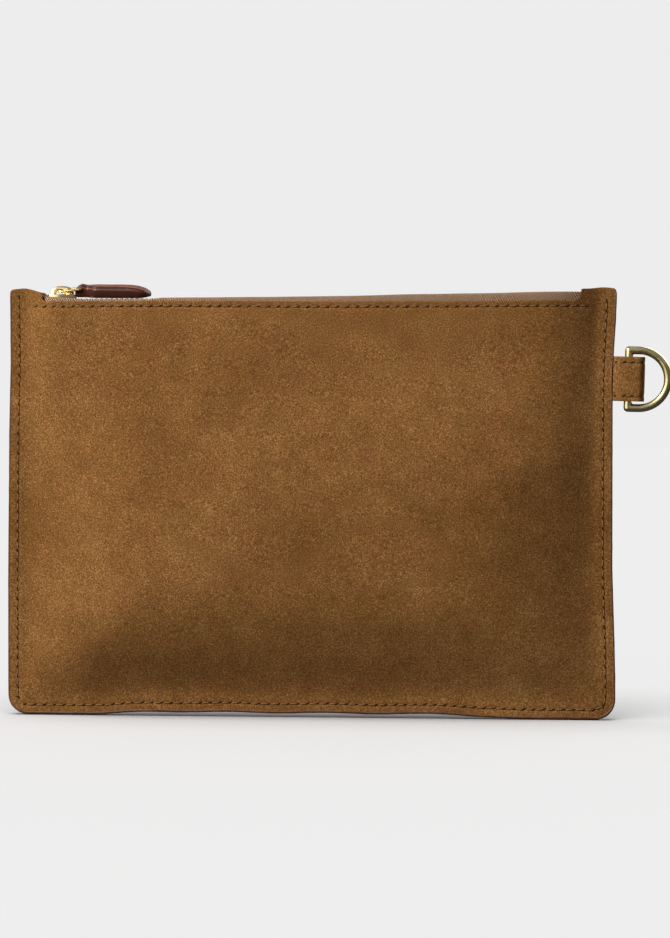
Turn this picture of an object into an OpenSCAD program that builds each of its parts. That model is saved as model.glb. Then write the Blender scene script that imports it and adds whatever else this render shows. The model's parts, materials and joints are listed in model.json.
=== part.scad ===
// Zip wristlet pouch: two stuffed suede panels, a lining, a metal zip and a D-ring on a side tab.
// The frame: +Z up, front panel towards -Y, origin at the middle of the bottom edge.

/* [Pouch] */
// Width over the painted side edges
pouch_w = 248; // [236:1:270]
// Height from the bottom edge to the top of the ears
pouch_h = 175; // [165:5:190]
// How far each panel swells from the middle plane
bulge = 12.5; // [9:0.5:14]
// Radius of the two bottom corners
corner_r = 8; // [6:1:10]
// Width of the ear left standing at each end of the zip
ear_w = 14; // [12:1:16]
// Thickness of the suede
suede_t = 1.4; // [1.2:0.1:1.6]
// Thickness of the cotton lining
lining_t = 0.5; // [0.4:0.05:0.5]
// Width of the flat sewn border
seam_w = 6; // [5.5:0.5:7]

/* [Zip] */
// Depth of the notch that the zip sits in, below the ears
notch_d = 5; // [4.5:0.5:5.5]
// Distance between neighbouring teeth on one tape
tooth_pitch = 2.1; // [2.1:0.1:2.4]
// Thickness of the woven tape
tape_t = 0.6; // [0.5:0.05:0.6]
// Length of the slider body
slider_l = 11; // [10.5:0.5:11.5]
// Length of the leather pull from its fold to its tip
pull_l = 29.8; // [28:0.1:34]

/* [Ring tab] */
// Width of the tab strap
tab_w = 18; // [16:1:18]
// Height of the tab's middle above the bottom edge
tab_z = 138; // [120:1:140]
// Inner width of the D-ring
ring_inner = 20; // [20:1:22]
// Diameter of the D-ring's wire
ring_wire = 3.3; // [3:0.1:3.3]
// How far the tab and ring droop, in degrees
droop = 1.5; // [0:0.5:3]

/* [Hidden] */
$fn = 48;
e = 0.01;

suede = [0.56, 0.37, 0.18];
brown = [0.33, 0.16, 0.12];
brass = [0.75, 0.62, 0.35];
taupe = [0.62, 0.48, 0.40];
thread = [0.25, 0.15, 0.07];

// Layers, outwards from the middle plane
paint_t = 0.3;
layer_gap = 0.05;
flange_inner = lining_t + layer_gap;
seam_half = flange_inner + suede_t;
half_w = pouch_w / 2 - paint_t;
floor_z = paint_t;
zip_edge = pouch_h - notch_d;
ear_x = half_w - ear_w;
seam_x = pouch_w / 2 - seam_w;

// Mouth of the pouch, where the tapes stand upright behind the panels
mouth_half = 6.55;
mouth_ramp = 12;
mouth_z = pouch_h - 18;
body_ramp = 62;
ramp_change = 45;
belly_z = 58;
notch_r = 4.5;
ear_r = 1.5;
paint_corner = corner_r - paint_t;

// Zip
chain_z = zip_edge - 0.1;
tooth_half_h = 1.2;
tooth_reach = 0.9;
tooth_root = 2.8;
tape_bend_r = 1.8;
tape_half = mouth_half - layer_gap;
tape_edge = 1.95;
claw_half = tape_t / 2 + 0.02;
slider_x = -half_w + 21.5;
plate_in = 1.45;
plate_out = 2.7;
crown_h = 3.55;
crown_w = 2.6;
crown_half = 4.7;
crown_t = 1.1;

// Places of the link's two bars against the slider's middle, and how far it rolls to the front
near_bar = [-0.8, 4.2];
far_bar = [8.1, 5.3];
link_roll = 9.3;
link_wire = 1;
link_arm = 2.9;

// Tab and ring
tab_t = 1.3;
tail_l = 12;
tail_half = 0.5;
tail_end_gap = 0.15;
ring_x = pouch_w / 2 + 5.05;
tab_hinge_x = pouch_w / 2 + 1.45;
tab_end_x = pouch_w / 2 + 11.4;
ring_arm = 4.25;
loop_half = ring_wire / 2 + 0.15;
loop_out = loop_half + tab_t;
loop_flat = [2.3, 5.2];
loop_root = 0.6;
hollow_flat = [2.6, 5];
end_half = 1.7;
tab_stitch_l = 1.9;
tab_stitch_in = 2.2;

function clamp01(s) = max(0, min(1, s));
function ease(s) = 1 - pow(1 - clamp01(s), 2);
function smooth(s) = let (c = clamp01(s)) c * c * (3 - 2 * c);
function mix(a, b, s) = a + (b - a) * s;

// Half the inside thickness of the suede shell at a point of the panel: flat in the sewn border, rising
// steeply from the bottom seam to the belly, and narrowing to the zip at the top
function swell(z) = z < belly_z
    ? (bulge - flange_inner) * ease((z - seam_w) / (belly_z - seam_w))
    : mix(bulge - flange_inner, mouth_half - flange_inner, smooth((z - belly_z) / (mouth_z - belly_z)));
function side_ramp(z) = mix(body_ramp, mouth_ramp, smooth((z - mouth_z + ramp_change) / ramp_change));
function rise(x, z) = ease((seam_x - abs(x)) / side_ramp(z));
function shell_in(x, z) = flange_inner + rise(x, z) * swell(z);

// The panel's outline as a lowest and a highest height over every x
function low_z(x) = let (d = abs(x) - (half_w - paint_corner))
    floor_z + (d <= 0 ? 0 : paint_corner - sqrt(max(0, pow(paint_corner, 2) - d * d)));
function high_z(x) = let (
        d = abs(x) - (half_w - ear_r),
        n = abs(x) - (ear_x - notch_r))
    d > 0 ? pouch_h - ear_r + sqrt(max(0, ear_r * ear_r - d * d))
    : abs(x) >= ear_x ? pouch_h
    : n <= 0 ? zip_edge
    : zip_edge + notch_r - sqrt(max(0, notch_r * notch_r - n * n));

// Columns from the side edge to the middle, and rows from the bottom to the top as shares of the height
side_x = half_w - paint_corner;
corner_x = [for (a = [90, 68, 45, 22]) side_x + paint_corner * sin(a)];
notch_x = [for (a = [66, 44, 22, 0]) ear_x - notch_r + notch_r * sin(a)];
half_columns = concat(corner_x, [side_x, mix(side_x, ear_x, 0.5), ear_x], notch_x,
    [for (s = [0.93, 0.84, 0.72, 0.58, 0.4, 0.2]) s * (ear_x - notch_r)]);
columns = concat([for (x = half_columns) -x], [0],
    [for (i = [len(half_columns) - 1 : -1 : 0]) half_columns[i]]);
rows = [0, 0.033, 0.066, 0.11, 0.17, 0.25, 0.34, 0.46, 0.59, 0.72, 0.82, 0.88, 0.925, 0.965, 1];

// The lining steps in behind the tapes, over a height below the mouth and a share of the side ramp
step_z = 10;
step_share = 0.4;
function lining_shift(x, z) = (tape_t + layer_gap) * smooth((z - mouth_z + step_z) / step_z)
    * clamp01(rise(x, z) / step_share);
function layer_depth(x, z, lining, outer) = lining
    ? shell_in(x, z) - layer_gap - lining_shift(x, z) - (outer ? 0 : lining_t)
    : shell_in(x, z) + (outer ? suede_t : 0);

// A suede or lining layer of one side as a closed solid
module layer(lining, side) {
    n = len(columns);
    m = len(rows) - (lining ? 1 : 0);
    points = [for (outer = [false, true]) for (x = columns) for (j = [0 : m - 1])
        let (z = mix(low_z(x), high_z(x), rows[j])) [x, side * layer_depth(x, z, lining, outer), z]];
    skin = n * m;
    flip = side < 0;
    function at(i, j, outer) = i * m + j + (outer ? skin : 0);
    function turn(f, back) = (back != flip) ? [for (k = [len(f) - 1 : -1 : 0]) f[k]] : f;
    function quad(a, b, c, d, back) = [turn([a, b, c], back), turn([a, c, d], back)];
    faces = concat(
        [for (outer = [false, true]) for (i = [0 : n - 2]) for (j = [0 : m - 2])
            for (f = quad(at(i, j, outer), at(i, j + 1, outer),
                at(i + 1, j + 1, outer), at(i + 1, j, outer), outer)) f],
        [for (j = [0, m - 1]) for (i = [0 : n - 2])
            for (f = quad(at(i, j, true), at(i, j, false),
                at(i + 1, j, false), at(i + 1, j, true), j > 0)) f],
        [for (i = [0, n - 1]) for (j = [0 : m - 2])
            for (f = quad(at(i, j, true), at(i, j, false),
                at(i, j + 1, false), at(i, j + 1, true), i == 0)) f]);
    polyhedron(points, faces);
}

module front_panel() { color(suede) layer(false, -1); }
module back_panel() { color(suede) layer(false, 1); }

// Room in the linings and the edge paint for the tail of the tab
module tail_room() {
    room = 1;
    translate([pouch_w / 2 - tail_l - 2 * room, -tail_half - layer_gap, tab_z - tab_w / 2 - room])
        cube([2 * tail_l, 2 * (tail_half + layer_gap), tab_w + 2 * room]);
}
module front_lining() {
    color(taupe) difference() {
        layer(true, -1);
        tail_room();
    }
}
module back_lining() {
    color(taupe) difference() {
        layer(true, 1);
        tail_room();
    }
}

// The outline of the sides and bottom, inset by a distance, as a filled shape open to the top
module border(inset) {
    r = corner_r - inset;
    for (s = [-1, 1])
        translate([s * (pouch_w / 2 - corner_r), corner_r]) circle(r);
    translate([-pouch_w / 2 + inset, corner_r]) square([pouch_w - 2 * inset, pouch_h - ear_r - corner_r]);
    translate([-pouch_w / 2 + corner_r, inset]) square([pouch_w - 2 * corner_r, corner_r]);
}
module edge_paint() {
    color(brown) difference() {
        rotate([90, 0, 0]) linear_extrude(2 * seam_half, center = true) difference() {
            border(0);
            border(paint_t);
            translate([-pouch_w / 2 + paint_t, pouch_h / 2]) square([pouch_w - 2 * paint_t, pouch_h]);
        }
        tail_room();
    }
}

// Thread lies on the face of the suede, one short solid for each stitch
stitch_l = 2.7;
stitch_w = 0.7;
stitch_h = 0.35;
stitch_pitch = 4;
stitch_in = 4;
stitch_top_gap = 3;
zip_stitch_in = 2.2;
zip_stitch_reach = ear_x + 2.8;
module stitch(l = stitch_l) {
    translate([-l / 2, -stitch_h, -stitch_w / 2]) cube([l, stitch_h, stitch_w]);
}
module seam_row() {
    line_x = pouch_w / 2 - stitch_in;
    turn_r = corner_r - stitch_in;
    turn_cut = (1 - cos(45)) * turn_r;
    n_side = floor((pouch_h - stitch_top_gap - corner_r) / stitch_pitch);
    n_base = round((pouch_w - 2 * corner_r) / stitch_pitch);
    for (s = [-1, 1]) {
        for (i = [0 : n_side - 1])
            translate([s * line_x, -seam_half, corner_r + (i + 0.5) * stitch_pitch])
                rotate([0, 90, 0]) stitch();
        translate([s * (line_x - turn_cut), -seam_half, stitch_in + turn_cut])
            rotate([0, s * -45, 0]) stitch();
    }
    base_pitch = (pouch_w - 2 * corner_r) / n_base;
    for (i = [0 : n_base - 1])
        translate([(i + 0.5 - n_base / 2) * base_pitch, -seam_half, stitch_in]) stitch();
}
module seam_stitching_front() { color(thread) seam_row(); }
module seam_stitching_back() { color(thread) mirror([0, 1, 0]) seam_row(); }

zip_stitch_z = zip_edge - zip_stitch_in;
module zip_row() {
    n = round(2 * zip_stitch_reach / stitch_pitch);
    lift = 0.15;
    for (i = [0 : n - 1]) {
        x = (i + 0.5 - n / 2) * 2 * zip_stitch_reach / n;
        slope = (shell_in(x + 1, zip_stitch_z) - shell_in(x - 1, zip_stitch_z)) / 2;
        translate([x, -shell_in(x, zip_stitch_z) - suede_t - lift, zip_stitch_z])
            rotate([0, 0, -atan(slope)]) stitch();
    }
}
module zip_stitching_front() { color(thread) zip_row(); }
module zip_stitching_back() { color(thread) mirror([0, 1, 0]) zip_row(); }

// Tape: flat beside the chain, then bent down behind the panel. Its ends run on flat into the ears
tape_leg_low = mouth_z + 1.5;
tape_end_over = 1.3;
tape_end_half = 4;
module tape_profile() {
    bend = [-(tape_half - tape_bend_r), chain_z + tape_t / 2 - tape_bend_r];
    translate([bend[0], chain_z - tape_t / 2]) square([-tape_edge - bend[0], tape_t]);
    intersection() {
        translate(bend) difference() {
            circle(tape_bend_r);
            circle(tape_bend_r - tape_t);
        }
        translate([bend[0] - 2 * tape_bend_r, bend[1]]) square(2 * tape_bend_r);
    }
}
module tape_leg_profile() {
    leg_top = chain_z + tape_t / 2 - tape_bend_r;
    translate([-tape_half, tape_leg_low]) square([tape_t, leg_top - tape_leg_low]);
}
module along_x(l) {
    rotate([90, 0, 90]) linear_extrude(l, center = true) children();
}
module tape() {
    along_x(2 * (ear_x - notch_r)) {
        tape_profile();
        tape_leg_profile();
    }
    along_x(2 * (ear_x + tape_end_over)) translate([-tape_end_half, chain_z - tape_t / 2])
        square([tape_end_half - tape_edge, tape_t]);
}
module zip_tape_front() { color(taupe) tape(); }
module zip_tape_back() { color(taupe) mirror([0, 1, 0]) tape(); }

// Teeth: each one is a head that reaches past the middle and a claw on the edge of its tape
tooth_t = tooth_pitch / 2 - 0.1;
tooth_neck = 0.3;
tooth_tip_half = 0.8;
module claw_slot(w) {
    translate([-w - e, -claw_half]) square([w - tape_edge + layer_gap + e, 2 * claw_half]);
}
chain_start = slider_x - 0.6;
chain_end = ear_x - 2.6;
tooth_count = floor((chain_end - chain_start) / tooth_pitch);
module tooth() {
    along_x(tooth_t) translate([0, chain_z]) difference() {
        polygon([[tooth_reach, -tooth_tip_half], [tooth_reach, tooth_tip_half], [tooth_neck, tooth_half_h],
            [-tooth_root, tooth_half_h], [-tooth_root, -tooth_half_h], [tooth_neck, -tooth_half_h]]);
        claw_slot(tooth_root);
    }
}
module teeth(offset_x) {
    for (i = [0 : tooth_count - 1])
        translate([chain_start + tooth_t / 2 + offset_x + i * tooth_pitch, 0, 0]) tooth();
}
module zip_teeth_front() { color(brass) teeth(0); }
module zip_teeth_back() { color(brass) mirror([0, 1, 0]) teeth(tooth_pitch / 2); }

// Stops: a block clamped on each tape ahead of the slider, and one across both tapes at the far end
stop_l = 2;
top_stop = [3, 1.1];
top_stop_inner = 0.8;
top_stop_gap = 1.6;
bottom_stop = [2.9, 1.3];
bottom_stop_in = 1.2;
module zip_top_stops() {
    color(brass) for (s = [0, 1]) mirror([0, s, 0])
        translate([slider_x - slider_l / 2 - top_stop_gap, 0, chain_z]) along_x(stop_l) difference() {
            translate(-top_stop) square([top_stop[0] - top_stop_inner, 2 * top_stop[1]]);
            claw_slot(top_stop[0]);
        }
}
module zip_bottom_stop() {
    color(brass) translate([ear_x - bottom_stop_in, 0, chain_z]) along_x(stop_l) difference() {
        square(2 * bottom_stop, center = true);
        for (s = [0, 1]) mirror([s, 0]) claw_slot(bottom_stop[0]);
    }
}

// Slider: two plates joined by a wedge at the front, with flanges that hold the chain
front_half = 4.7;
rear_half = 3.7;
waist_half = front_half - 0.35;
flange_t = 0.65;
flange_slot = 0.6;
wedge_half = 1.1;
wedge_tip = [-0.8, 0.12];
window_x = 2;
window = [1.3, 1.4];
// A flat outline that is the same on both sides of the X axis, from its upper points
module even_outline(half) {
    polygon(concat(half, [for (i = [len(half) - 1 : -1 : 0]) [half[i][0], -half[i][1]]]));
}
module slider_outline() {
    h = slider_l / 2;
    even_outline([[-h, front_half - 1.1], [-h + 0.9, front_half - 0.3], [-h + 2, front_half],
        [0, waist_half], [h - 1, rear_half], [h, rear_half - 0.8]]);
}
module slider_channel() {
    h = slider_l / 2;
    even_outline([[-h - 1, front_half - flange_t], [-h + 2, front_half - flange_t],
        [0, waist_half - flange_t], [h - 1, rear_half - flange_t], [h + 1, rear_half - flange_t]]);
}
module slider_body() {
    color(brass) translate([slider_x, 0, chain_z]) difference() {
        union() {
            for (s = [0, 1]) mirror([0, 0, s]) {
                translate([0, 0, plate_in]) linear_extrude(plate_out - plate_in) slider_outline();
                translate([0, 0, flange_slot]) linear_extrude(plate_in - flange_slot) difference() {
                    slider_outline();
                    slider_channel();
                }
            }
            translate([0, 0, -plate_in]) linear_extrude(2 * plate_in)
                even_outline([[-slider_l / 2, wedge_half], wedge_tip]);
        }
        translate([window_x, -window[1] / 2, 0]) cube([window[0], window[1], plate_out + 1]);
    }
}
module arc_segment(half_chord, h) {
    r = (half_chord * half_chord + h * h) / (2 * h);
    intersection() {
        translate([0, h - r]) circle(r, $fn = 96);
        translate([-half_chord, 0]) square([2 * half_chord, h + 1]);
    }
}
module slider_crown() {
    color(brass) translate([slider_x, 0, chain_z + plate_out]) rotate([90, 0, 0])
        linear_extrude(crown_w, center = true) difference() {
            arc_segment(crown_half, crown_h);
            arc_segment(crown_half - crown_t, crown_h - crown_t);
        }
}
module slider_lock_spring() {
    leaf = [6.2, 0.25];
    prong = [0.7, plate_out - plate_in + 0.2];
    end = window_x + 1;
    color(brass) translate([slider_x, 0, chain_z]) rotate([90, 0, 0]) linear_extrude(1, center = true) {
        translate([end - leaf[0], plate_out]) square(leaf);
        translate([end - prong[0], plate_in - 0.1]) square(prong);
    }
}

// Link: a wire frame, one bar under the crown and the other in the fold of the leather
bar_a = [slider_x + near_bar[0], chain_z + near_bar[1]];
bar_b = [slider_x + far_bar[0], chain_z + far_bar[1]];
link_l = norm(bar_b - bar_a);
link_tilt = atan2(bar_b[1] - bar_a[1], bar_b[0] - bar_a[0]);
module at_link() {
    translate([bar_a[0], 0, bar_a[1]]) rotate([link_roll, 0, 0]) rotate([0, -link_tilt, 0]) children();
}
module pull_link() {
    arm_h = 0.9 * link_wire;
    rod_lap = 0.1;
    rod_l = 2 * (link_arm - link_wire + rod_lap);
    color(brass) at_link() {
        for (x = [0, link_l]) translate([x, 0, 0]) rotate([90, 0, 0])
            cylinder(h = rod_l, d = link_wire, center = true);
        for (y = [-link_arm, link_arm - link_wire])
            translate([-link_wire / 2, y, -arm_h / 2]) cube([link_l + link_wire, link_wire, arm_h]);
    }
}

// Leather pull: one strip folded round the link's far bar, a wedge from the side, narrow at the fold and
// round at the tip
tip_half = 1.4;
tip_r = 4.9;
fold_in = 0.7;
fold_out = 2.3;
fold_w = 2 * (link_arm - link_wire) - 0.3;
fold_l = 2.8;
shoulder = [6.5, 4.2];
pull_slope = -3.7;
module pull_side() {
    far = pull_l - fold_out;
    difference() {
        union() {
            circle(fold_out);
            polygon([[0, 0.1 - fold_out], [far, -tip_half], [far, tip_half], [0, fold_out - 0.1]]);
        }
        circle(fold_in);
    }
}
module pull_plan() {
    far = pull_l - fold_out;
    h = fold_w / 2;
    even_outline([[-fold_out - 1, h], [fold_l, h], shoulder, [far - tip_r, tip_r]]);
    translate([far - tip_r, 0]) circle(tip_r);
}
module leather_pull() {
    color(brown) at_link() translate([link_l, 0, 0]) rotate([0, link_tilt - pull_slope, 0]) intersection() {
        rotate([90, 0, 0]) linear_extrude(12, center = true) pull_side();
        translate([0, 0, -3]) linear_extrude(6) pull_plan();
    }
}

// Tab strap: its tail is sewn between the panels, its loop holds the ring's bar
module at_tab() {
    translate([tab_hinge_x, 0, tab_z]) rotate([0, droop, 0]) children();
}
module tab_anchor() {
    color(suede) translate([pouch_w / 2 - tail_l, -tail_half, tab_z - tab_w / 2])
        cube([tail_l - tail_end_gap, 2 * tail_half, tab_w]);
}
module loop_profile(root, wide, half, end_half, far) {
    even_outline([root, [wide[0], half], [wide[1], half], [far - end_half, end_half]]);
    translate([far - end_half, 0]) circle(end_half);
}
module ring_tab() {
    reach = tab_end_x - tab_hinge_x;
    color(suede) at_tab() linear_extrude(tab_w, center = true) difference() {
        union() {
            circle(tab_t);
            loop_profile([0, tab_t], loop_flat, loop_out, end_half, reach);
        }
        loop_profile([loop_root, e], hollow_flat, loop_half, end_half - tab_t, reach - tab_t);
    }
}
module tab_stitching() {
    edge_z = tab_w / 2 - tab_stitch_in;
    slope_l = tab_end_x - tab_hinge_x - end_half - loop_flat[1];
    slope = atan((loop_out - end_half) / slope_l);
    color(thread) at_tab() for (side = [0, 1]) mirror([0, side, 0]) for (z = [-edge_z, edge_z]) {
        translate([(loop_flat[0] + loop_flat[1]) / 2, -loop_out, z]) stitch(tab_stitch_l);
        translate([loop_flat[1] + slope_l / 2, -(loop_out + end_half) / 2, z]) rotate([0, 0, slope])
            stitch(tab_stitch_l);
    }
}
module d_ring() {
    r = ring_wire / 2;
    mid = (ring_inner + ring_wire) / 2;
    arm = ring_arm;
    color(brass) at_tab() translate([ring_x - tab_hinge_x, 0, 0]) {
        cylinder(h = ring_inner + 2 * ring_wire, r = r, center = true);
        for (s = [-1, 1]) translate([-r, 0, s * mid]) rotate([0, 90, 0]) cylinder(h = arm + r, r = r);
        translate([arm, 0, 0]) rotate([90, 0, 0]) rotate([0, 0, -90])
            rotate_extrude(angle = 180) translate([mid, 0]) circle(r);
    }
}

front_panel();
back_panel();
front_lining();
back_lining();
edge_paint();
seam_stitching_front();
seam_stitching_back();
zip_stitching_front();
zip_stitching_back();
zip_tape_front();
zip_tape_back();
zip_teeth_front();
zip_teeth_back();
zip_top_stops();
zip_bottom_stop();
slider_body();
slider_crown();
slider_lock_spring();
pull_link();
leather_pull();
tab_anchor();
ring_tab();
tab_stitching();
d_ring();
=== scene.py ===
"""A suede zip pouch with a leather zip pull and a D-ring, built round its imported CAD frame."""

import json
import math
import random

import bmesh
import bpy
import numpy as np
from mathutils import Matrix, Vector, noise

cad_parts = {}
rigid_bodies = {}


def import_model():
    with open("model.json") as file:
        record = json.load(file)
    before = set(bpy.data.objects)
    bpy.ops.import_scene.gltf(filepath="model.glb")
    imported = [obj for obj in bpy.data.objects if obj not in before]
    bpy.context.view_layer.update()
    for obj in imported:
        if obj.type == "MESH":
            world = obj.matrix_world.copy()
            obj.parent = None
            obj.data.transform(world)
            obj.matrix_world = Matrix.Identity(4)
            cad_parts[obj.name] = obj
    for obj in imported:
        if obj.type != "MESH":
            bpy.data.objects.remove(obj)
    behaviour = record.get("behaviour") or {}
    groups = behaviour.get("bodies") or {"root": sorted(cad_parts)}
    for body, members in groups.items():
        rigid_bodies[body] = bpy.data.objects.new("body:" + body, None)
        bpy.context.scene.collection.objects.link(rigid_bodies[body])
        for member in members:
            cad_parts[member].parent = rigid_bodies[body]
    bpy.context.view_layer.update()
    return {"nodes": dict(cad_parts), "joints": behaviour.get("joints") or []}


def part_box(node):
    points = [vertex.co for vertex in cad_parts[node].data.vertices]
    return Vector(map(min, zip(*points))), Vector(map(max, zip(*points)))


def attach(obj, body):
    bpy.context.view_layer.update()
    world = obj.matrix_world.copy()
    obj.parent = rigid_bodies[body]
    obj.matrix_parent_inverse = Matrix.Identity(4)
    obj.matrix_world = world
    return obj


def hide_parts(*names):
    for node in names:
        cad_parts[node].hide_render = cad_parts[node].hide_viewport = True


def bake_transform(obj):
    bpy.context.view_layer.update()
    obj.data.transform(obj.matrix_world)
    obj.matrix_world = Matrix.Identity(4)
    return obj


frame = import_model()
random.seed(11)

MM = 0.001

# ------------------------------------------------------------------ sizes, from the frame
panel_low, panel_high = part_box("front_panel")
paint_low, paint_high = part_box("edge_paint")
tape_low, tape_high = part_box("zip_tape_front")
teeth_low, teeth_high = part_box("zip_teeth_front")
ring_low, ring_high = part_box("d_ring")

HALF_W = panel_high.x
TOP = panel_high.z
FLOOR_EDGE = panel_low.z
BELLY = -panel_low.y
SEAM = -paint_low.y
PAINT = paint_high.x - panel_high.x
SUEDE = 1.4 * MM
LINING = 0.5 * MM
LAYER_GAP = 0.05 * MM
TAPE = 0.6 * MM
TOOTH_PITCH = 2.1 * MM
NOTCH = 5 * MM
ZIP_EDGE = TOP - NOTCH
EAR_X = HALF_W - 14 * MM
NOTCH_R = 4.5 * MM
LEFT_NOTCH_R = 1.1 * MM
RIGHT_NOTCH_R = 3.2 * MM
EAR_R = 1.5 * MM
CORNER_R = 8 * MM - PAINT
MOUTH = -tape_low.y + LAYER_GAP + SUEDE
MOUTH_Z = TOP - 18 * MM
BELLY_Z = 58 * MM
SEAM_W = 6 * MM
BODY_RAMP = 62 * MM
MOUTH_RAMP_LEFT = 19 * MM
MOUTH_RAMP_RIGHT = 24 * MM
TAB_SIDE_RAMP = 38 * MM
BASE_RAMP = 21 * MM
STITCH_PITCH = 4 * MM
STITCH_IN = 4 * MM - PAINT
ZIP_STITCH = 2.2 * MM
GROOVE_W = 0.8 * MM
THREAD_R = 0.24 * MM
HOLE_GAP = 0.5 * MM
CHAIN_Z = (teeth_low.z + teeth_high.z) / 2
PULL_SLOPE = math.radians(3.7)
RING_INNER = 20 * MM
WIRE_R = (ring_high.y - ring_low.y) / 2

joints = {j["name"]: j for j in frame["joints"]}
link_at = Vector(joints["link_hinge"]["pos_m"])
pull_at = Vector(joints["pull_hinge"]["pos_m"])
tab_at = Vector(joints["tab_flex"]["pos_m"])
ring_at = Vector(joints["ring_swivel"]["pos_m"])
roll_axis = -Vector(joints["link_hinge"]["axis"])
droop_axis = Vector(joints["tab_flex"]["axis"])
tab_ahead = Vector((droop_axis.z, 0, -droop_axis.x))


# ------------------------------------------------------------------ small helpers
def smooth(s):
    c = np.clip(s, 0, 1)
    return c * c * (3 - 2 * c)


def ease(s):
    return 1 - (1 - np.clip(s, 0, 1)) ** 2


def mix(a, b, s):
    return a + (b - a) * s


def bell(s):
    return np.exp(-s * s)


def make_piece(name, verts, faces, materials, body=None, shade=True, material_index=None):
    """A mesh object with its faces turned outwards, riding a body if one is given."""
    mesh = bpy.data.meshes.new(name)
    mesh.from_pydata([tuple(v) for v in verts], [], [tuple(f) for f in faces])
    piece = bpy.data.objects.new(name, mesh)
    bpy.context.scene.collection.objects.link(piece)
    for m in materials:
        mesh.materials.append(m)
    if material_index is not None:
        mesh.polygons.foreach_set("material_index", material_index)
    bm = bmesh.new()
    bm.from_mesh(mesh)
    bmesh.ops.recalc_face_normals(bm, faces=bm.faces)
    bm.to_mesh(mesh)
    bm.free()
    mesh.polygons.foreach_set("use_smooth", [shade] * len(mesh.polygons))
    if body:
        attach(piece, body)
    return piece


def loft(rings, closed=False):
    """Vertices and faces of a skin over rings of equally many points, with flat ends unless closed."""
    n, m = len(rings), len(rings[0])
    verts = [p for ring in rings for p in ring]
    faces = []
    for i in range(n if closed else n - 1):
        a, b = i * m, ((i + 1) % n) * m
        faces += [(a + k, a + (k + 1) % m, b + (k + 1) % m, b + k) for k in range(m)]
    if not closed:
        faces += [tuple(range(m)), tuple(range((n - 1) * m, n * m))]
    return verts, faces


def tube(path, radius, sides=12, closed=False, up=Vector((0, 1, 0))):
    """Round rings along a path of points; radius is one number, or one for each point."""
    rings = []
    n = len(path)
    for i, p in enumerate(path):
        before = path[i - 1] if i > 0 or closed else path[i]
        after = path[(i + 1) % n] if i < n - 1 or closed else path[i]
        along = (after - before).normalized()
        side = along.cross(up).normalized()
        rise = side.cross(along).normalized()
        r = radius[i] if hasattr(radius, "__len__") else radius
        turn = [2 * math.pi * k / sides for k in range(sides)]
        rings.append([p + side * (r * math.cos(a)) + rise * (r * math.sin(a)) for a in turn])
    return rings


class Parts:
    """Several closed skins gathered into one mesh, each with its own material index."""

    def __init__(self):
        self.verts, self.faces, self.index = [], [], []

    def add(self, skin, material=0):
        base = len(self.verts)
        self.verts += skin[0]
        self.faces += [tuple(base + i for i in f) for f in skin[1]]
        self.index += [material] * len(skin[1])


# ------------------------------------------------------------------ materials
def new_material(name, base, roughness, metallic=0.0, specular=0.5, sheen=0.0, sheen_tint=None):
    m = bpy.data.materials.new(name)
    m.use_nodes = True
    shader = m.node_tree.nodes["Principled BSDF"]
    shader.inputs["Base Color"].default_value = (*base, 1)
    shader.inputs["Roughness"].default_value = roughness
    shader.inputs["Metallic"].default_value = metallic
    shader.inputs["Specular IOR Level"].default_value = specular
    if sheen:
        shader.inputs["Sheen Weight"].default_value = sheen
        shader.inputs["Sheen Roughness"].default_value = 0.5
        shader.inputs["Sheen Tint"].default_value = (*(sheen_tint or base), 1)
    return m


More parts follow.
